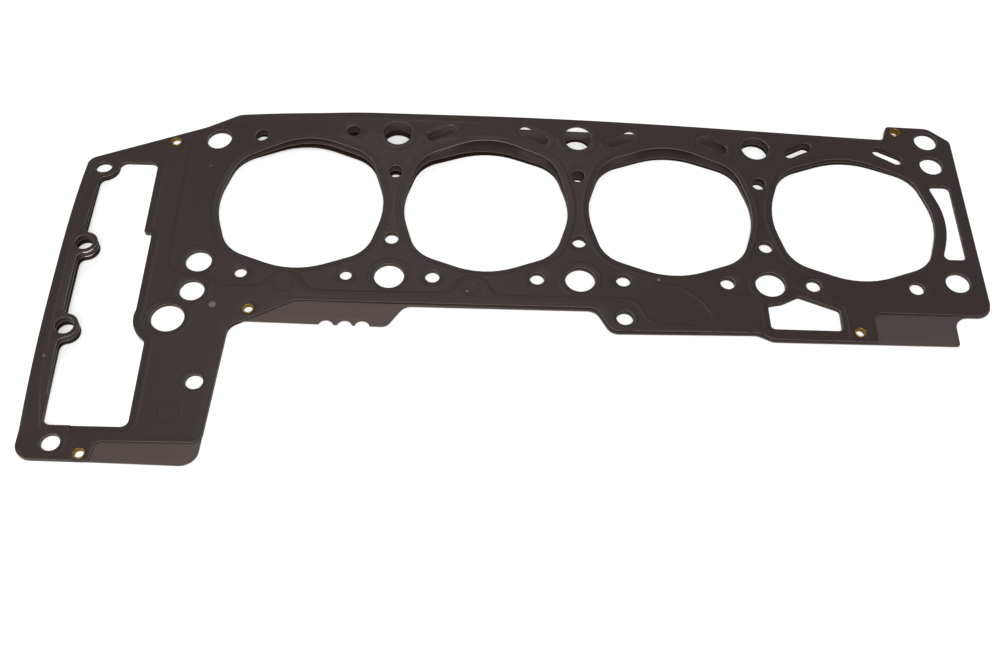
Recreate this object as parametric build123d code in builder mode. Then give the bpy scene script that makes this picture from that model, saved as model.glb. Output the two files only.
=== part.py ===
from build123d import *
import os
from math import cos, pi, radians, sin, tan

# Cylinder head gasket for one four-cylinder bank, with a timing-chain window at its left end.
# Three steel sheets lie on each other and five brass eyelets hold them together.
# The origin is the middle of the bore row on the underside, +X runs along the row,
# +Y points to the long plain edge and +Z points up to the cylinder head.
# In the free state the bottom sheet lies flat and the two above it spring up between the eyelets.

# Bores
bore_count = 4
bore_pitch = 104.4
bore_half_length = 46.3
bore_half_width = 43.8
bore_side_radius = 46.0
bore_end_radius = 45.0
bore_corner_radius = 20.0
bore_side_lean = 17.0
bore_end_lean = 21.0

# Sheets, in millimetres of steel
facing_thickness = 0.25
middle_thickness = 0.35
stack_room = 30.0

# Embossed bead round every bore of the two facing sheets
bead_height = 0.18
bead_inset = 2.2
bead_width = 2.4

# Head bolt holes
bolt_row = 48.0
bolt_hole_radius = 8.2
end_bolt_x = bore_count * bore_pitch / 2
left_end_bolt_radius = 7.1
right_end_bolt_radius = 6.6
left_far_bolt_y = 48.2
left_near_bolt_y = -41.0
right_far_bolt_y = 42.7
right_near_bolt_y = -43.1

# Coolant holes beside each bore and between the bores
coolant_offset = 28.6
coolant_radius = 4.0
first_bore_coolant_radius = 3.3
web_hole_y = 22.2
web_hole_radius = 3.9
slot_gap = 11.6
slot_centre_radius = bore_half_width + slot_gap
slot_angle = 29.0
slot_length = 18.5
slot_width = 6.6

# Oil and chain-case holes: x, y, radius
oil_return_hole = (-220.0, -79.4, 8.8)
left_oil_hole = (-209.8, -60.9, 6.6)
right_oil_hole = (end_bolt_x, 62.0, 6.8)
chain_case_holes = [(-266.0, -156.8, 4.8), (-200.2, -119.1, 4.6), (-271.9, 24.2, 4.6)]
near_case_hole = (23.4, -73.1, 4.6)
vent_pinhole = (-210.0, 27.0, 0.8)

# Chain window, with ears that carry small bolts on its bar side
window_left = -271.9
window_right_far = -241.7
window_right_mid = -237.3
window_right_near = -229.6
window_far = 29.4
window_step_y = -22.5
window_near = -147.0
window_corner = 4.0
window_step_corner = 1.9
web_round_oil_hole = 18.0
ear_x = -269.9
ear_ys = [-36.8, -91.7]
ear_radius = 7.3
ear_hole_radius = 4.9
corner_ear_radius = 9.0

# Window in the near right corner
side_window = [
    (101.8, -77.9),
    (101.4, -61.9),
    (109.5, -60.2),
    (118.9, -55.2),
    (140.4, -64.0),
    (140.2, -77.9),
]
side_window_corner = 2.4

# Slot beside the last bore: its inner wall bends round the bore and its outer wall is straight
end_slot_gap = 6.8
end_slot_waist = 7.1
end_slot_half = 27.1
end_slot_lean = 18.0
end_slot_corner = 3.0

# Eyelets: a rolled rim on top and a flared foot that lies flush in the bottom sheet
eyelet_places = {
    "eyelet_near_left": (-250.7, -162.7),
    "eyelet_near_middle": (-178.1, -72.3),
    "eyelet_near_right": (149.5, -78.6),
    "eyelet_far_right": (191.1, 67.6),
    "eyelet_far_left": (-233.8, 46.5),
}
eyelet_bore_radius = 2.4
eyelet_wall = 0.4
eyelet_rim_width = 0.45
eyelet_rim_height = 0.45
eyelet_clearance = 0.05
foot_flare = 0.2

# Blanks that the sheets are cut from; the bar beside the chain window is left of the seam
bar_seam_x = -257.5
blank_margin = 6.0
grid_step = 18.0

# Spring shape of the upper facing sheet: one long arch over the far side of the bores
top_gap = 1.7
top_near_rise = 1.2
top_far_rise = 11.4
top_bar_rise = 9.5
near_rise_from = -160.0
near_rise_to = 230.0
far_rise_from = -218.0
far_crest_left = -115.0
far_crest_right = -62.0
far_rise_to = 236.0
climb_power = 1.1
fall_power = 1.5

# Spring shape of the middle sheet: a hump at the first bore and a long low one at the last
middle_gap = 0.8
middle_bar_rise = 5.7
middle_humps = [(-148.0, 78.0, 5.9), (110.0, 125.0, 1.4)]

# Lines across the sheets between which they rise from the near height to the far height
slope_near_y = -46.0
slope_far_y = 45.0

# Arch of the bar beside the chain window
bar_near_y = -150.0
bar_far_y = 30.0
bar_stations = 8
bar_power = 0.8

# Outline of the two facing sheets: x, y and corner radius, anticlockwise from the far left corner
plain_edges = [
    (-150.0, 63.2, 200.0),
    (-198.5, 66.6, 12.0),
    (-281.9, 31.6, 6.0),
    (-281.2, -62.0, 2000.0),
]
facing_near_edges = [
    (-283.3, -166.3, 8.5),
    (-245.5, -166.8, 3.0),
    (-244.0, -155.4, 3.5),
    (-191.9, -155.1, 6.0),
    (-187.4, -83.9, 8.0),
    (-153.5, -65.4, 10.0),
    (8.1, -66.8, 7.0),
    (16.1, -81.7, 7.0),
    (94.3, -80.5, 8.0),
    (102.3, -84.5, 8.0),
    (159.0, -84.5, 2.0),
    (159.0, -64.9, 5.0),
    (223.9, -65.3, 9.0),
]
right_edges = [
    (223.5, 62.4, 4.0),
    (211.5, 72.3, 8.0),
    (186.3, 72.3, 2.5),
    (183.2, 61.3, 3.0),
]

# The middle sheet reaches further on the near side and carries three tabs
middle_near_edges = [
    (-283.3, -166.3, 8.5),
    (-192.7, -168.2, 9.0),
    (-187.3, -79.9, 7.0),
    (-103.9, -81.5, 5.0),
    (-94.9, -67.9, 7.0),
    (7.7, -68.0, 7.0),
    (15.7, -82.7, 7.0),
    (94.0, -81.5, 8.0),
    (102.0, -85.5, 8.0),
    (202.7, -85.5, 2.5),
    (202.9, -66.5, 7.0),
    (223.9, -66.5, 9.0),
]
notch_xs = [-136.1, -126.1, -116.8]
notch_y = -82.2
notch_radius = 4.1

bore_x = [(k - (bore_count - 1) / 2) * bore_pitch for k in range(bore_count)]
web_x = [x + bore_pitch / 2 for x in bore_x[:-1]]
eyelet_hole_radius = eyelet_bore_radius + eyelet_wall + eyelet_clearance


def bore_outline(grow=0.0):
    """A bore opening: flattened arcs joined by straight tangents that meet in four soft corners."""
    side = bore_half_length + bore_side_radius * (1 / cos(radians(bore_side_lean)) - 1)
    end = bore_half_width + bore_end_radius * (1 / cos(radians(bore_end_lean)) - 1)
    side_slope = tan(radians(bore_side_lean))
    end_slope = tan(radians(bore_end_lean))
    side += grow / cos(radians(bore_side_lean))
    end += grow / cos(radians(bore_end_lean))
    corner_x = (side - side_slope * end) / (1 - side_slope * end_slope)
    corner_y = end - end_slope * corner_x
    points = [
        (side, 0),
        (corner_x, corner_y),
        (0, end),
        (-corner_x, corner_y),
        (-side, 0),
        (-corner_x, -corner_y),
        (0, -end),
        (corner_x, -corner_y),
    ]
    soft = bore_corner_radius + grow
    radii = [bore_side_radius + grow, soft, bore_end_radius + grow, soft] * 2
    with BuildSketch() as outline:
        with BuildLine():
            FilletPolyline(*points, radius=radii, close=True)
        make_face()
    return outline.sketch


def rounded_plan(corners):
    """A closed outline from corners given as x, y and corner radius."""
    with BuildSketch() as plan:
        with BuildLine():
            FilletPolyline(*[(x, y) for x, y, r in corners], radius=[r for x, y, r in corners], close=True)
        make_face()
    return plan.sketch


def part_way(value, start, end):
    """How far value has come from start to end, held between 0 and 1."""
    return max(0.0, min(1.0, (value - start) / (end - start)))


def slope(near, far, y):
    """Height on the line y of a sheet that curves up from its near height to its far height."""
    return near + (far - near) * part_way(y, slope_near_y, slope_far_y) ** 2


def hump(x, centre, reach, height):
    """Height at x of a hump that rises smoothly from nothing to its crest and back."""
    return height * cos(pi / 2 * min(1.0, abs(x - centre) / reach)) ** 2


def top_height(x, y):
    near = top_gap + top_near_rise * sin(pi * part_way(x, near_rise_from, near_rise_to)) ** 2
    climb = sin(pi / 2 * part_way(x, far_rise_from, far_crest_left)) ** climb_power
    fall = sin(pi / 2 * part_way(x, far_rise_to, far_crest_right)) ** fall_power
    return slope(near, top_gap + top_far_rise * climb * fall, y)


def middle_height(x, y):
    return slope(middle_gap, middle_gap + sum(hump(x, *shape) for shape in middle_humps), y)


def curved_field(height, left, right, near, far, thickness, plan, bands=None):
    """The piece of a sheet between four lines: it follows height(x, y), raised further in the bands."""
    columns = round((right - left) / grid_step)
    rows = round((far - near) / grid_step)
    xs = [left + (right - left) * k / columns for k in range(columns + 1)]
    ys = [near + (far - near) * k / rows for k in range(rows + 1)]
    under = Face.make_surface_from_array_of_points([[Vector(x, y, height(x, y)) for y in ys] for x in xs])
    with BuildPart() as cutter:
        extrude(plan, amount=stack_room, both=True)
    if bands:
        with BuildPart() as band_room:
            extrude(bands, amount=stack_room, both=True)
        with BuildPart() as raised:
            extrude(to_extrude=under.moved(Location((0, 0, bead_height))), amount=thickness, dir=(0, 0, 1))
            add(band_room.part, mode=Mode.INTERSECT)
    with BuildPart() as field:
        extrude(to_extrude=under, amount=thickness, dir=(0, 0, 1))
        if bands:
            add(band_room.part, mode=Mode.SUBTRACT)
            add(raised.part)
        add(cutter.part, mode=Mode.INTERSECT)
    return field.part


def arched_bar(gap, rise, thickness, plan):
    """The bar beside the chain window, which arches up between its two ends."""
    blank = plan.bounding_box()
    near = blank.min.Y - blank_margin
    far = blank.max.Y + blank_margin
    arch = []
    for k in range(bar_stations + 1):
        share = k / bar_stations
        arch.append((bar_near_y + (bar_far_y - bar_near_y) * share, gap + rise * sin(pi * share) ** bar_power))
    over = gap + thickness
    with BuildPart() as cutter:
        extrude(plan, amount=stack_room, both=True)
    with BuildPart() as side_bar:
        with BuildSketch(Plane.YZ.offset(blank.min.X - blank_margin)):
            with BuildLine():
                Spline(*arch, tangents=[(1, 0), (1, 0)])
                Polyline((bar_far_y, gap), (far, gap), (far, over), (bar_far_y, over))
                Spline(*[(y, z + thickness) for y, z in arch], tangents=[(1, 0), (1, 0)])
                Polyline((bar_near_y, over), (near, over), (near, gap), (bar_near_y, gap))
            make_face()
        extrude(amount=bar_seam_x - blank.min.X + blank_margin)
        add(cutter.part, mode=Mode.INTERSECT)
    return side_bar.part


def sprung_sheet(height, gap, bar_rise, thickness, plan, bands=None):
    """A whole sheet with the outline and holes of plan: its arched main field and the arch of its bar."""
    blank = plan.bounding_box()
    right = blank.max.X + blank_margin
    near = blank.min.Y - blank_margin
    far = blank.max.Y + blank_margin
    with BuildPart() as sheet:
        add(curved_field(height, bar_seam_x, right, near, far, thickness, plan, bands))
        add(arched_bar(gap, bar_rise, thickness, plan))
    return sheet.part


def chain_window():
    with BuildSketch() as window:
        width = [window_right_far, window_right_mid, window_right_near]
        tops = [window_far, window_step_y, oil_return_hole[1]]
        lows = [window_step_y, oil_return_hole[1], window_near]
        for right, top, low in zip(width, tops, lows):
            with Locations(((window_left + right) / 2, (top + low) / 2)):
                Rectangle(right - window_left, top - low)
        with Locations(oil_return_hole[:2]):
            Circle(web_round_oil_hole, mode=Mode.SUBTRACT)
        with Locations(*[(ear_x, y) for y in ear_ys]):
            Circle(ear_radius, mode=Mode.SUBTRACT)
        with Locations(chain_case_holes[2][:2]):
            Circle(corner_ear_radius, mode=Mode.SUBTRACT)
        step = window.vertices().filter_by(lambda v: abs(v.Y - window_step_y) < window_step_corner)
        fillet([v for v in window.vertices() if v not in step], window_corner)
        step = window.vertices().filter_by(lambda v: abs(v.Y - window_step_y) < window_step_corner)
        fillet(step, window_step_corner)
    return window.sketch


def end_slot():
    wall_radius = bore_half_length + end_slot_gap
    inner = bore_x[-1] + wall_radius
    outer = inner + end_slot_waist
    crown = inner + wall_radius * (1 / cos(radians(end_slot_lean)) - 1)
    toe = crown - end_slot_half * tan(radians(end_slot_lean))
    return rounded_plan([
        (crown, 0, wall_radius),
        (toe, end_slot_half, end_slot_corner),
        (outer, end_slot_half, end_slot_corner),
        (outer, -end_slot_half, end_slot_corner),
        (toe, -end_slot_half, end_slot_corner),
    ])


def openings():
    """Everything that is punched through all three sheets."""
    bore = bore_outline()
    windows = [chain_window(), end_slot(), rounded_plan([(x, y, side_window_corner) for x, y in side_window])]
    with BuildSketch() as punched:
        with Locations(*[(x, 0) for x in bore_x]):
            add(bore)
        with Locations(*[(x, y) for x in web_x for y in (-bolt_row, bolt_row)]):
            Circle(bolt_hole_radius)
        with Locations(*[(x, y) for x in web_x for y in (-web_hole_y, web_hole_y)]):
            Circle(web_hole_radius)
        with Locations((-end_bolt_x, left_far_bolt_y), (-end_bolt_x, left_near_bolt_y)):
            Circle(left_end_bolt_radius)
        with Locations((end_bolt_x, right_far_bolt_y), (end_bolt_x, right_near_bolt_y)):
            Circle(right_end_bolt_radius)
        for k, x in enumerate(bore_x):
            radius = first_bore_coolant_radius if k == 0 else coolant_radius
            with Locations((x - coolant_offset, -bolt_row), (x + coolant_offset, -bolt_row)):
                Circle(radius)
            for side in (-1, 1):
                turned = side * slot_angle
                place = Location((x, 0), 0) * Location((0, 0), -turned) * Location((0, slot_centre_radius), 0)
                with Locations(place):
                    if k == 0:
                        Circle(coolant_radius)
                    else:
                        SlotOverall(slot_length, slot_width)
        for x, y, radius in [oil_return_hole, left_oil_hole, right_oil_hole, near_case_hole, vent_pinhole]:
            with Locations((x, y)):
                Circle(radius)
        for x, y, radius in chain_case_holes:
            with Locations((x, y)):
                Circle(radius)
        with Locations(*[(ear_x, y) for y in ear_ys]):
            Circle(ear_hole_radius)
        with Locations(*eyelet_places.values()):
            Circle(eyelet_hole_radius)
        add(windows)
    return punched.sketch


def bead_rings():
    """The bands round the bores where the facing sheets are embossed."""
    outer = bore_outline(bead_inset + bead_width)
    inner = bore_outline(bead_inset)
    with BuildSketch() as rings:
        with Locations(*[(x, 0) for x in bore_x]):
            add(outer)
            add(inner, mode=Mode.SUBTRACT)
    return rings.sketch


punched = openings()
rings = bead_rings()
facing_plan = rounded_plan(plain_edges + facing_near_edges + right_edges)
middle_plan = rounded_plan(plain_edges + middle_near_edges + right_edges)

# Upper facing sheet
with BuildSketch() as top_plan:
    add(facing_plan)
    add(punched, mode=Mode.SUBTRACT)
with BuildPart() as top_layer:
    add(sprung_sheet(top_height, top_gap, top_bar_rise, facing_thickness, top_plan.sketch, rings))
top_layer.part.label = "top_layer"

# Spacer sheet between the facings, with its tabs and the three locating notches
with BuildSketch() as spacer_plan:
    add(middle_plan)
    add(punched, mode=Mode.SUBTRACT)
    with Locations(*[(x, notch_y) for x in notch_xs]):
        Circle(notch_radius, mode=Mode.SUBTRACT)
with BuildPart() as middle_layer:
    add(sprung_sheet(middle_height, middle_gap, middle_bar_rise, middle_thickness, spacer_plan.sketch))
middle_layer.part.label = "middle_layer"

# Lower facing sheet, flat, with a countersunk hole for the foot of each eyelet
with BuildPart() as bottom_layer:
    with BuildSketch() as lower_plan:
        add(facing_plan)
        add(punched, mode=Mode.SUBTRACT)
        add(rings, mode=Mode.SUBTRACT)
    extrude(amount=facing_thickness)
    with BuildSketch(Plane.XY.offset(bead_height)) as lower_rings:
        add(rings)
    extrude(amount=facing_thickness)
    with Locations(*[(x, y, foot_flare / 2) for x, y in eyelet_places.values()]):
        Cone(eyelet_hole_radius + foot_flare, eyelet_hole_radius, foot_flare, mode=Mode.SUBTRACT)
bottom_layer.part.label = "bottom_layer"


def rim_seat(x, y):
    """The highest point of the upper sheet under an eyelet's rim."""
    reach = eyelet_bore_radius + eyelet_wall + eyelet_rim_width
    under_rim = top_layer.part & Pos(x, y, stack_room / 2) * Cylinder(reach, stack_room)
    return under_rim.bounding_box().max.Z


# Brass eyelets, each as long as the stack is high where it stands
eyelets = []
for name, (x, y) in eyelet_places.items():
    seat = rim_seat(x, y) + eyelet_clearance / 2
    tube = eyelet_bore_radius + eyelet_wall
    with BuildPart() as eyelet:
        with BuildSketch(Plane.XZ):
            with BuildLine():
                Polyline(
                    (eyelet_bore_radius, 0),
                    (tube + foot_flare, 0),
                    (tube, foot_flare),
                    (tube, seat),
                    (tube + eyelet_rim_width, seat),
                )
                ThreePointArc(
                    (tube + eyelet_rim_width, seat),
                    ((tube + eyelet_rim_width + eyelet_bore_radius) / 2, seat + eyelet_rim_height),
                    (eyelet_bore_radius, seat),
                )
                Line((eyelet_bore_radius, seat), (eyelet_bore_radius, 0))
            make_face()
        revolve(axis=Axis.Z)
    eyelets.append(eyelet.part.moved(Location((x, y, 0))))
    eyelets[-1].label = name

os.makedirs("parts", exist_ok=True)
export_step(top_layer.part, "parts/top_layer.step")
export_step(middle_layer.part, "parts/middle_layer.step")
export_step(bottom_layer.part, "parts/bottom_layer.step")
for eyelet in eyelets:
    export_step(eyelet, f"parts/{eyelet.label}.step")
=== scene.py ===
import math

import bmesh
import bpy
import numpy as np
from mathutils import Matrix, Vector
from mathutils.geometry import delaunay_2d_cdt
from mathutils.kdtree import KDTree


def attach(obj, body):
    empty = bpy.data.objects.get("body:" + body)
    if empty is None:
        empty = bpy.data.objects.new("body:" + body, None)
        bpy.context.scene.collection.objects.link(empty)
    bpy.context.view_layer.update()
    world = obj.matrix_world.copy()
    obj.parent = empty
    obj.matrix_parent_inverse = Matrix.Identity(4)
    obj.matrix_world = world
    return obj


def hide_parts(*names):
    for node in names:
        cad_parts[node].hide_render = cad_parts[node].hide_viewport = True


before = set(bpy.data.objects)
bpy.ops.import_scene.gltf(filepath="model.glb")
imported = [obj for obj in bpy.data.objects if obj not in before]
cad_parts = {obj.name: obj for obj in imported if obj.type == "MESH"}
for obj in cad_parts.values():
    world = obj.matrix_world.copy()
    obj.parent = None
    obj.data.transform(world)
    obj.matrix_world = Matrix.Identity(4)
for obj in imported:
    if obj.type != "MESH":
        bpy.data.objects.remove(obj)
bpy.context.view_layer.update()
print("frame loaded")


def linear(hexColour):
    # sRGB hex to the linear values that Blender's sockets take
    parts = [int(hexColour[k:k + 2], 16) / 255 for k in (1, 3, 5)]
    return [c / 12.92 if c <= 0.04045 else ((c + 0.055) / 1.055) ** 2.4 for c in parts] + [1]


def addNode(tree, kind, links=None, inputs=None, **settings):
    node = tree.nodes.new(kind)
    for name, value in settings.items():
        setattr(node, name, value)
    for socket, value in (inputs or {}).items():
        node.inputs[socket].default_value = value
    for socket, source in (links or {}).items():
        tree.links.new(source, node.inputs[socket])
    return node


def newMaterial(name):
    material = bpy.data.materials.new(name)
    material.use_nodes = True
    tree = material.node_tree
    tree.nodes.clear()
    output = tree.nodes.new("ShaderNodeOutputMaterial")
    return material, tree, output


def mottled(tree, where, values, patchMm, detail):
    # two close tones that blend in soft patches
    patches = addNode(tree, "ShaderNodeTexNoise", {"Vector": where},
                      {"Scale": 1000 / patchMm, "Detail": detail})
    tones = addNode(tree, "ShaderNodeMix", {"Factor": patches.outputs["Fac"]}, data_type="RGBA")
    tones.inputs["A"].default_value = linear(values["colour"])
    tones.inputs["B"].default_value = linear(values["darkColour"])
    return tones.outputs["Result"]


def finishedSurface(tree, output, values, links):
    shader = addNode(tree, "ShaderNodeBsdfPrincipled", links,
                     {"Roughness": values["roughness"], "Metallic": values["metallic"]})
    tree.links.new(shader.outputs["BSDF"], output.inputs["Surface"])


# The coat is a thin sprayed and baked elastomer film, so it is dark, even and only softly glossy
coat = {
    "colour": "#33241f",
    "darkColour": "#2a1e1a",
    "patchMm": 60.0,
    "grainMm": 0.6,
    "grainStrength": 0.15,
    "grainDepth": 0.00002,
    "roughness": 0.42,
    "metallic": 0.0,
    # painted highlights: pale round spots at small dimples in the coat, given as x, y and radius in
    # millimetres
    "dimpleGlintColour": "#6f655f",
    "dimpleGlintSpotsMm": [(-197.5, -70, 1.9), (-277, -110, 0.8), (43, -47, 0.8), (-61.5, -57.5, 0.7)],
    "dimpleGlintEdge": 0.1,
}


def dimpleGlintSpots(tree, place, colour):
    # small pale round marks: painted highlights where little dimples in the coat catch the light
    flat = addNode(tree, "ShaderNodeMapping", {"Vector": place})
    flat.inputs["Scale"].default_value = (1, 1, 0)
    for x, y, radius in coat["dimpleGlintSpotsMm"]:
        gap = addNode(tree, "ShaderNodeVectorMath", {0: flat.outputs["Vector"]}, operation="DISTANCE")
        gap.inputs[1].default_value = (x / 1000, y / 1000, 0)
        inner, outer = (radius * (1 + side * coat["dimpleGlintEdge"]) / 1000 for side in (-1, 1))
        share = addNode(tree, "ShaderNodeMapRange", {"Value": gap.outputs["Value"]},
                        {"From Min": inner, "From Max": outer, "To Min": 1.0, "To Max": 0.0})
        dimpleGlint = addNode(tree, "ShaderNodeMix", {"Factor": share.outputs["Result"], "A": colour},
                         data_type="RGBA")
        dimpleGlint.inputs["B"].default_value = linear(coat["dimpleGlintColour"])
        colour = dimpleGlint.outputs["Result"]
    return colour


def elastomerCoatedSteel():
    material, tree, output = newMaterial("elastomer_coated_spring_steel_sprayed")
    place = addNode(tree, "ShaderNodeTexCoord").outputs["Object"]
    # the coat's colour carries painted highlights at small dimples
    colour = dimpleGlintSpots(tree, place, mottled(tree, place, coat, coat["patchMm"], 3.0))
    grain = addNode(tree, "ShaderNodeTexNoise", {"Vector": place},
                    {"Scale": 1000 / coat["grainMm"], "Detail": 2.0})
    bump = addNode(tree, "ShaderNodeBump", {"Height": grain.outputs["Fac"]},
                   {"Strength": coat["grainStrength"], "Distance": coat["grainDepth"]})
    finishedSurface(tree, output, coat, {"Base Color": colour, "Normal": bump.outputs["Normal"]})
    return material


# The spacer is cold-rolled steel left bare, so its tabs are a duller, warmer metal with faint streaks
spacer = {
    "colour": "#5f5350",
    "darkColour": "#544946",
    "streakMm": 4.0,
    "streakStretch": 0.08,
    "roughness": 0.45,
    "metallic": 0.4,
}


def rolledSpacerSteel():
    material, tree, output = newMaterial("cold_rolled_spacer_steel")
    place = addNode(tree, "ShaderNodeTexCoord").outputs["Object"]
    stretch = addNode(tree, "ShaderNodeMapping", {"Vector": place})
    stretch.inputs["Scale"].default_value = (spacer["streakStretch"], 1, 1)
    colour = mottled(tree, stretch.outputs["Vector"], spacer, spacer["streakMm"], 3.0)
    finishedSurface(tree, output, spacer, {"Base Color": colour})
    return material


# The eyelets are drawn brass strip, rolled over at the rim, so they shine warm in a thin line
eyeletBrass = {
    "colour": "#b8923f",
    "darkColour": "#7d612b",
    "spotMm": 1.5,
    "roughness": 0.3,
    "metallic": 1.0,
}

# Punched edges are bare spring steel with a small rolled-over lip, so they catch light as a fine line
cutEdge = {
    "colour": "#8f857c",
    "darkColour": "#6d645d",
    "spotMm": 3.0,
    "roughness": 0.35,
    "metallic": 1.0,
}


def spottedMetal(name, values):
    material, tree, output = newMaterial(name)
    place = addNode(tree, "ShaderNodeTexCoord").outputs["Object"]
    finishedSurface(tree, output, values, {"Base Color": mottled(tree, place, values, values["spotMm"], 2.0)})
    return material


coatMaterial = elastomerCoatedSteel()
edgeMaterial = spottedMetal("bare_spring_steel_punched", cutEdge)
spacerMaterial = rolledSpacerSteel()
brassMaterial = spottedMetal("drawn_brass", eyeletBrass)
sheetFinishes = {"top_layer": coatMaterial, "bottom_layer": coatMaterial, "middle_layer": spacerMaterial}
for name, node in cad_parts.items():
    node.data.materials.clear()
    node.data.materials.append(sheetFinishes.get(name, brassMaterial))
print("finishes on the sheets and eyelets")

# Spring shape of the sheets, in millimetres: how high each one stands over the block face
spring = {
    "barSeamX": -257.5,
    "barNearY": -150.0,
    "barFarY": 30.0,
    "barPower": 2.1,
    "slopeNearY": -46.0,
    "slopeFarY": 45.0,
}

# nearRise holds rise, start and end; climb and fall hold start, crest and power along X
upper = {
    "gap": 1.7,
    "barRise": 9.5,
    "nearRise": (1.2, -160.0, 230.0),
    "farRise": 11.4,
    "climb": (-218.0, -115.0, 1.1),
    "fall": (236.0, -62.0, 1.5),
    "steel": 0.25,
}

# humps hold centre, half width and height along the far edge
middle = {
    "gap": 0.8,
    "barRise": 6.6,
    "humps": [(-130.0, 95.0, 6.6), (-45.0, 75.0, 1.6), (0.0, 70.0, 0.8), (110.0, 125.0, 1.4)],
    "steel": 0.35,
}
lower = {
    "gap": 0.0,
    "barRise": 3.9,
    "humps": [(-145.0, 84.0, 2.8)],
    "steel": 0.25,
    "footRoom": 0.3,
    "eyeletHoleUnder": 3.2,
    "ringCount": 4,
}


def partWay(value, start, end):
    return np.clip((value - start) / (end - start), 0, 1)


def arch(x, y, main, shape):
    # the bar beside the chain window arches on its own, left of the seam
    share = 2 * partWay(y, spring["barNearY"], spring["barFarY"]) - 1
    bar = shape["gap"] + shape["barRise"] * (1 - np.abs(share) ** spring["barPower"])
    return np.where(x < spring["barSeamX"], bar, main)


def slope(near, far, y):
    return near + (far - near) * partWay(y, spring["slopeNearY"], spring["slopeFarY"]) ** 2


def upperHeight(x, y):
    rise, start, end = upper["nearRise"]
    near = upper["gap"] + rise * np.sin(np.pi * partWay(x, start, end)) ** 2
    far = upper["farRise"]
    for start, crest, power in (upper["climb"], upper["fall"]):
        far = far * np.sin(np.pi / 2 * partWay(x, start, crest)) ** power
    return arch(x, y, slope(near, upper["gap"] + far, y), upper)


def humped(shape):
    def height(x, y):
        far = shape["gap"]
        for centre, width, rise in shape["humps"]:
            far = far + rise * np.cos(np.pi / 2 * np.clip(np.abs(x - centre) / width, 0, 1)) ** 2
        return arch(x, y, slope(shape["gap"], far, y), shape)
    return height


# What the press does to a facing sheet, in millimetres
press = {
    "beadWidth": 2.4,
    "beadHeight": 0.32,
    "beadSlope": 0.55,
    "beadGuard": 0.5,
    "beadGap": 1.2,
    "beadToEdge": 0.7,
    "rowStep": 1.6,
    "gridStep": 5.0,
    "gridToEdge": 1.5,
    "edgeStep": 2.5,
    "edgeProbeStep": 0.8,
    "burrWidth": 0.25,
    "burrDrop": 0.12,
    "lipSlack": 1.3,
    "stampHeight": 0.15,
    "stampWidth": 1.4,
    "sharpDeg": 40.0,
}

# Rings round the holes: for holes of more than this radius, inset, width and height
ringSizes = [
    (30.0, 2.2, 2.4, 0.2),
    (5.5, 1.6, 2.4, 0.14),
    (4.0, 1.0, 1.8, 0.15),
]

# Where a point of a sheet lies: on the plain face, on a cut edge, or on the inner line of its lip
onFace, onCut, onLip = 0, 1, 2


def faceLoops(node):
    # the closed lines where the upper face of a sheet meets its cut edges
    mesh = bmesh.new()
    mesh.from_mesh(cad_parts[node].data)
    bmesh.ops.remove_doubles(mesh, verts=mesh.verts, dist=2e-6)
    onTop = {face for face in mesh.faces if face.normal.z > 0.5}
    following = {}
    for edge in mesh.edges:
        if sum(face in onTop for face in edge.link_faces) == 1:
            for a, b in (edge.verts, reversed(edge.verts)):
                following.setdefault(a.index, []).append(b.index)
    mesh.verts.ensure_lookup_table()
    loops, used = [], set()
    for start in following:
        if start in used:
            continue
        loop, here = [], start
        while here is not None:
            used.add(here)
            loop.append(here)
            here = next((n for n in following[here] if n not in used), None)
        if len(loop) > 5:
            loops.append(np.array([mesh.verts[k].co[:2] for k in loop]) * 1000)
    mesh.free()
    return loops


def reach(loop):
    return float(np.ptp(loop[:, 0]) + np.ptp(loop[:, 1]))


def meanRadius(loop):
    return reach(loop) / 4


def divided(loop, step, closed=True):
    # long straight runs get points on the way
    ends = np.roll(loop, -1, axis=0) if closed else loop[1:]
    pieces = []
    for a, b in zip(loop, ends):
        count = max(1, math.ceil(np.hypot(*(b - a)) / step))
        pieces += [a + (b - a) * k / count for k in range(count)]
    if not closed:
        pieces.append(loop[-1])
    return np.array(pieces)


def circle(x, y, radius, count):
    turns = np.linspace(0, 2 * np.pi, count, endpoint=False)
    return np.array([x, y]) + radius * np.stack([np.cos(turns), np.sin(turns)], axis=1)


def roundIfCircle(loop):
    # a round hole gets a finer circle than its coarse loop
    centre = loop.mean(axis=0)
    radii = np.hypot(*(loop - centre).T)
    if len(loop) < 8 or np.ptp(radii) > 0.04 * radii.mean() + 0.1:
        return loop
    return circle(*centre, radii.max(), max(20, int(radii.max() * 6)))


def sideways(line, closed):
    # unit vectors square to the line at each of its points
    if closed:
        along = np.roll(line, -1, axis=0) - np.roll(line, 1, axis=0)
    else:
        along = np.gradient(line, axis=0)
    along = along / np.maximum(np.hypot(*along.T), 1e-9)[:, None]
    return np.stack([along[:, 1], -along[:, 0]], axis=1)


def outwards(loop):
    # away from the hole that the loop goes round
    area = 0.5 * np.sum(loop[:, 0] * np.roll(loop[:, 1], -1) - loop[:, 1] * np.roll(loop[:, 0], -1))
    return sideways(loop, True) * (1 if area > 0 else -1)


def softened(points, rounds=3):
    # corners of a given path are cut again and again until they are curves
    line = np.array(points, dtype=float)
    for _ in range(rounds):
        a, b = line[:-1], line[1:]
        cuts = np.stack([0.75 * a + 0.25 * b, 0.25 * a + 0.75 * b], axis=1).reshape(-1, 2)
        line = np.concatenate([[line[0]], cuts, [line[-1]]])
    return line


def inside(points, loops):
    # even-odd rule: inside the outline and outside every hole
    odd = np.zeros(len(points), dtype=bool)
    x, y = points[:, 0][:, None], points[:, 1][:, None]
    for loop in loops:
        a, b = loop, np.roll(loop, -1, axis=0)
        crosses = (a[:, 1] > y) != (b[:, 1] > y)
        rise = np.where(b[:, 1] == a[:, 1], 1e-9, b[:, 1] - a[:, 1])
        at = a[:, 0] + (y - a[:, 1]) / rise * (b[:, 0] - a[:, 0])
        odd ^= (np.sum(crosses & (x < at), axis=1) % 2).astype(bool)
    return odd


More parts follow.
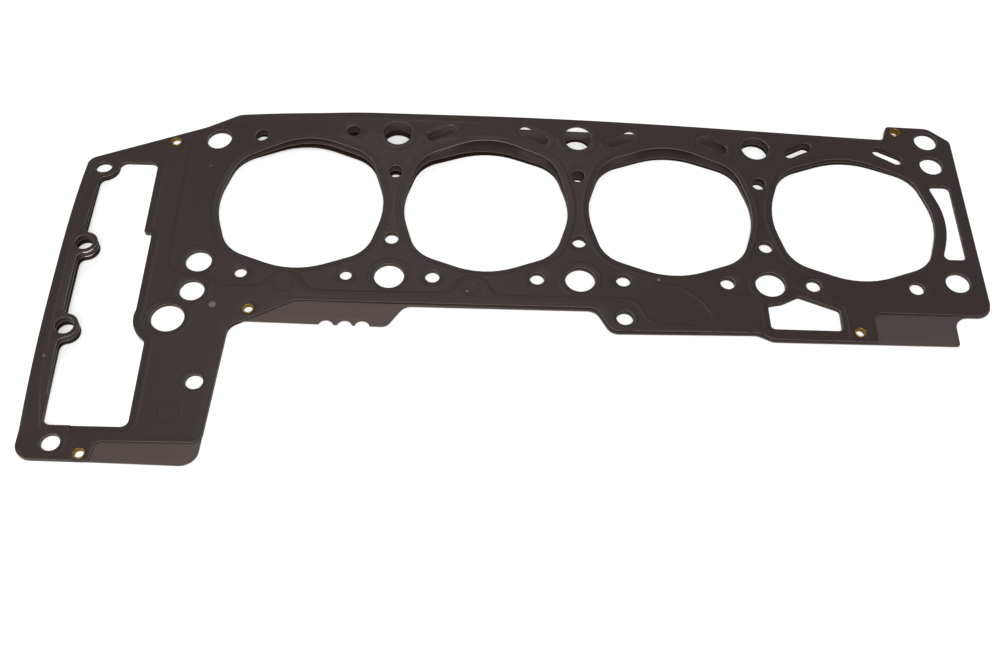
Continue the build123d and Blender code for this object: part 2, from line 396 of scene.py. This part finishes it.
def treeOf(lines):
    tree = KDTree(sum(len(line) for line in lines))
    for k, (x, y) in enumerate(np.concatenate(lines)):
        tree.insert((x, y, 0), k)
    tree.balance()
    return tree


def farFrom(points, tree, distance):
    return np.array([tree.find((x, y, 0))[2] > distance for x, y in points], dtype=bool)


def edgeRows(edges):
    # each cut edge drops a little, and its lip ends in a second row beside it
    rows, fixedEdges, first = [], [], 0
    for k, edge in enumerate(edges):
        count = len(edge)
        intoSheet = outwards(edge) * (-1 if k == 0 else 1)
        rows.append((edge, -press["burrDrop"], onCut))
        rows.append((edge + intoSheet * press["burrWidth"], 0.0, onLip))
        fixedEdges += [(first + j, first + (j + 1) % count) for j in range(count)]
        first += 2 * count
    return rows, fixedEdges


def beadRows(beads, edges, edgeTree):
    # six rows across each bead; where two beads meet, the later one stops short
    rows, centres = [], []
    for line, closed, lift, width in beads:
        line = divided(line, press["rowStep"], closed)
        across = sideways(line, closed)
        keep = inside(line, edges)
        if centres:
            keep &= farFrom(line, treeOf(centres), width + press["beadGap"])
        flank = min(press["beadSlope"], width / 2)
        foot, guard = width / 2, width / 2 + press["beadGuard"]
        profile = ((-guard, 0), (-foot, 0), (flank - foot, 1), (foot - flank, 1), (foot, 0), (guard, 0))
        for offset, share in profile:
            row = (line + across * offset)[keep]
            if len(row):
                rows.append((row[farFrom(row, edgeTree, press["beadToEdge"])], lift * share, onFace))
        if keep.any():
            centres.append(line[keep])
    return rows, centres


def gridRow(outline, edges, edgeTree, centres):
    # loose points over the open stretches, so that the sheet can bend there
    low, high = outline.min(axis=0), outline.max(axis=0)
    step = press["gridStep"]
    columns, lines = (np.arange(low[k] + step / 2, high[k], step) for k in (0, 1))
    gridX, gridY = np.meshgrid(columns, lines)
    grid = np.stack([gridX.ravel(), gridY.ravel()], axis=1)
    grid = grid[inside(grid, edges)]
    grid = grid[farFrom(grid, edgeTree, press["gridToEdge"])]
    if centres:
        grid = grid[farFrom(grid, treeOf(centres), press["beadWidth"])]
    return grid, 0.0, onFace


def triangulated(rows, fixedEdges, edges):
    # one plan of triangles through all rows, with each point's lift and kind
    points = np.concatenate([row for row, _, _ in rows])
    lifts = np.concatenate([np.full(len(row), lift) for row, lift, _ in rows])
    kinds = np.concatenate([np.full(len(row), kind) for row, _, kind in rows])
    found, _, faces, source, _, _ = delaunay_2d_cdt([Vector(p) for p in points], fixedEdges, [], 1, 1e-5)
    lift = np.array([lifts[s[0]] if s else 0.0 for s in source])
    kind = np.array([kinds[s[0]] if s else onFace for s in source])
    plan = np.array([v[:] for v in found])
    middles = plan[np.array(faces)].mean(axis=1)
    faces = [face for face, solid in zip(faces, inside(middles, edges)) if solid]
    used = sorted({k for face in faces for k in face})
    place = {k: n for n, k in enumerate(used)}
    return plan[used], lift[used], kind[used], [tuple(place[k] for k in face) for face in faces]


def lipFaces(plan, kind, faces):
    # the narrow triangles between a cut edge and the inner line of its lip
    corners = np.array(faces)
    a, b, c = (plan[corners[:, k]] for k in range(3))
    longest = np.max([np.hypot(*(p - q).T) for p, q in ((a, b), (b, c), (c, a))], axis=0)
    thin = np.abs(np.cross(b - a, c - a)) / longest < press["lipSlack"] * press["burrWidth"]
    lowest = kind[corners].min(axis=1)
    return ((lowest == onCut) & thin).astype(int).tolist()


def pressedSheet(name, outline, holes, height, steel, beads, materials):
    # beads: (centre line, closed, height, width)
    loops = [outline] + [roundIfCircle(hole) for hole in holes]
    edges = [divided(loop, press["edgeStep"]) for loop in loops]
    edgeTree = treeOf([divided(edge, press["edgeProbeStep"]) for edge in edges])
    rows, fixedEdges = edgeRows(edges)
    pressed, centres = beadRows(beads, edges, edgeTree)
    rows += pressed + [gridRow(outline, edges, edgeTree, centres)]
    plan, lift, kind, faces = triangulated(rows, fixedEdges, edges)
    base = height(plan[:, 0], plan[:, 1])
    over = np.column_stack([plan, base + steel + lift])
    under = np.column_stack([plan, base + np.maximum(lift, 0)])
    count = len(plan)
    sides = {side: True for a, b, c in faces for side in ((a, b), (b, c), (c, a))}
    rims = [(a, b) for a, b in sides if (b, a) not in sides]
    allFaces = faces + [(c + count, b + count, a + count) for a, b, c in faces]
    allFaces += [(b, a, a + count, b + count) for a, b in rims]
    mesh = bpy.data.meshes.new(name)
    mesh.from_pydata((np.concatenate([over, under]) / 1000).tolist(), [], allFaces)
    bare = lipFaces(plan, kind, faces) + [0] * len(faces) + [1] * len(rims)
    mesh.polygons.foreach_set("material_index", bare)
    mesh.polygons.foreach_set("use_smooth", [True] * len(allFaces))
    mesh.set_sharp_from_angle(angle=math.radians(press["sharpDeg"]))
    for material in materials:
        mesh.materials.append(material)
    piece = bpy.data.objects.new(name, mesh)
    bpy.context.scene.collection.objects.link(piece)
    print(name, len(allFaces), "faces,", len(rims), "on the cut edges")
    return piece


# Lines of the press tool on the upper sheet, in millimetres, read off the real one
sealLine = [
    (-224.3, 52), (-224.5, 20), (-224.5, -38), (-223.5, -45), (-219.5, -50.2), (-212, -51), (-203.5, -51.3),
    (-199, -54.5), (-196, -57.6), (-188, -58), (-176, -57.6), (-171.5, -56.5), (-169.5, -52.5), (-167, -48.8),
    (-160.5, -46.6), (-154, -48.8), (-151.5, -52.5), (-149.5, -57.5), (-144, -59.6), (-130, -60), (-76, -60),
    (-71, -59), (-68.5, -54.5), (-65.5, -50), (-59.5, -47.6), (-53, -49.8), (-50.2, -54.5), (-47.5, -59.6),
    (-42, -61), (-10, -61), (24, -61), (29.5, -62), (32.5, -67), (35, -73), (39, -76.6), (46, -77.6),
    (70, -77.6), (91, -77.2), (96, -79), (100, -81.5),
]
shortLines = [
    [(-277.5, 28), (-277.4, -40), (-277, -110), (-274.5, -132), (-272, -148)],
    [(-203, 60.2), (-180, 61), (-150, 59), (-100, 58), (-60, 57.8)],
    [(41, -50), (48, -50.3), (55, -52.5), (62, -57), (67, -62.5), (70.5, -68)],
    [(110, -45.5), (118, -49), (127, -53.5), (137, -57.5), (142.6, -60.5), (144.5, -66), (144.6, -80)],
    [(157, -60.3), (180, -60.3), (218, -60.3)],
]

# Round stamps: x, y and radius
stamps = [(-160.5, -55, 5.6), (-60, -56, 5.2), (-210, -138, 5.6), (150, -55, 4.6)]


def holeRings(holes):
    # a pressed ring round every larger hole, longest first
    rings = []
    for hole in sorted(holes, key=reach, reverse=True):
        size = next((ring[1:] for ring in ringSizes if meanRadius(hole) > ring[0]), None)
        if size:
            inset, width, lift = size
            rings.append((hole + outwards(hole) * (inset + width / 2), True, lift, width))
    return rings


def roomForFoot(hole):
    # the eyelets are flared under the lowest sheet, whose holes for them are a little wider
    wider = meanRadius(hole) < lower["eyeletHoleUnder"]
    return hole + outwards(hole) * lower["footRoom"] if wider else hole


spacerLoops = sorted(faceLoops("middle_layer"), key=reach)
spacerOutline, holes = spacerLoops[-1], spacerLoops[:-1]
outline = max(faceLoops("bottom_layer"), key=reach)
rings = holeRings(holes)
beads = [(softened(line), False, press["beadHeight"], press["beadWidth"]) for line in [sealLine] + shortLines]
for x, y, radius in stamps:
    stamp = circle(x, y, radius, max(10, int(radius * 5)))
    beads.append((stamp, True, press["stampHeight"], press["stampWidth"]))
facing = [coatMaterial, edgeMaterial]
topSheet = pressedSheet("topSheet", outline, holes, upperHeight, upper["steel"], beads + rings, facing)
footHoles = [roomForFoot(hole) for hole in holes]
longestRings = rings[:lower["ringCount"]]
bottomSheet = pressedSheet("bottomSheet", outline, footHoles, humped(lower), lower["steel"], longestRings,
                           facing)
spacerSheet = pressedSheet("spacerSheet", spacerOutline, holes, humped(middle), middle["steel"], [],
                           [spacerMaterial, edgeMaterial])
for piece, node, finish in (
    (topSheet, "top_layer", "coated_facing_steel"),
    (spacerSheet, "middle_layer", "spacer_steel"),
    (bottomSheet, "bottom_layer", "coated_facing_steel"),
):
    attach(piece, "root")
    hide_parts(node)
print("pressed sheets")

# Camera: where the photograph was taken from, in millimetres and degrees in the part's frame
view = {
    "eyeMm": (-55.03, -483.41, 576.32),
    "downDeg": 55.21,
    "rollDeg": -2.76,
    "yawDeg": -1.67,
    "lensMm": 47.48,
    "sensorMm": 36.0,
    "clipEnd": 20,
}


def placeCamera():
    down, roll, yaw = (math.radians(view[key]) for key in ("downDeg", "rollDeg", "yawDeg"))
    forward = Vector((0, math.cos(down), -math.sin(down)))
    right = Vector((1, 0, 0))
    below = forward.cross(right)
    turn = Matrix.Rotation(yaw, 3, "Z")
    forward, right, below = turn @ forward, turn @ right, turn @ below
    tiltedRight = math.cos(roll) * right + math.sin(roll) * below
    tiltedBelow = math.cos(roll) * below - math.sin(roll) * right
    data = bpy.data.cameras.new("camera")
    data.lens = view["lensMm"]
    data.sensor_width = view["sensorMm"]
    data.clip_end = view["clipEnd"]
    camera = bpy.data.objects.new("camera", data)
    axes = Matrix((tiltedRight, -tiltedBelow, -forward)).transposed()
    camera.matrix_world = Matrix.Translation(Vector(view["eyeMm"]) / 1000) @ axes.to_4x4()
    bpy.context.scene.collection.objects.link(camera)
    bpy.context.scene.camera = camera


# Studio: a white table and soft lamps, in metres
studio = {
    "tableSize": 12.0,
    "tableDrop": 0.0002,
    "tableColour": "#f2f2f2",
    "tableRoughness": 0.9,
    "glow": 0.5,
    "worldLevel": 0.38,
}
lamps = [
    {"name": "frontSoftbox", "at": (0.1, -1.3, 1.5), "size": 1.2, "watts": 17},
    {"name": "overheadStrip", "at": (-0.2, 0.8, 1.7), "size": 0.7, "watts": 2.4},
    {"name": "leftSide", "at": (-1.6, -0.4, 1.2), "size": 1.0, "watts": 6.5},
]
white = (1, 1, 1, 1)


def whiteCard():
    # seen straight on, the card glows a little, so that the ground of the picture is white
    material, tree, output = newMaterial("white_card")
    path = addNode(tree, "ShaderNodeLightPath")
    glow = addNode(tree, "ShaderNodeMath", {0: path.outputs["Is Camera Ray"]}, operation="MULTIPLY")
    glow.inputs[1].default_value = studio["glow"]
    shader = addNode(tree, "ShaderNodeBsdfPrincipled", {"Emission Strength": glow.outputs["Value"]},
                     {"Roughness": studio["tableRoughness"], "Base Color": linear(studio["tableColour"]),
                      "Emission Color": white})
    tree.links.new(shader.outputs["BSDF"], output.inputs["Surface"])
    return material


def placeTable():
    half = studio["tableSize"] / 2
    mesh = bpy.data.meshes.new("table")
    corners = [(-half, -half, 0), (half, -half, 0), (half, half, 0), (-half, half, 0)]
    mesh.from_pydata(corners, [], [(0, 1, 2, 3)])
    mesh.materials.append(whiteCard())
    table = bpy.data.objects.new("table", mesh)
    bpy.context.scene.collection.objects.link(table)
    table.location.z = -studio["tableDrop"]


def lightWorld():
    world = bpy.data.worlds.new("studio")
    bpy.context.scene.world = world
    world.use_nodes = True
    tree = world.node_tree
    tree.nodes.clear()
    output = tree.nodes.new("ShaderNodeOutputWorld")
    light = addNode(tree, "ShaderNodeBackground", inputs={"Strength": studio["worldLevel"], "Color": white})
    tree.links.new(light.outputs["Background"], output.inputs["Surface"])


def placeLamps():
    for lamp in lamps:
        data = bpy.data.lights.new(lamp["name"], "AREA")
        data.energy = lamp["watts"]
        data.size = lamp["size"]
        light = bpy.data.objects.new(lamp["name"], data)
        light.location = lamp["at"]
        light.rotation_euler = (-Vector(lamp["at"])).to_track_quat("-Z", "Y").to_euler()
        bpy.context.scene.collection.objects.link(light)


placeCamera()
placeTable()
lightWorld()
placeLamps()
bpy.context.scene.view_settings.view_transform = "Standard"
print("camera, table and lamps")
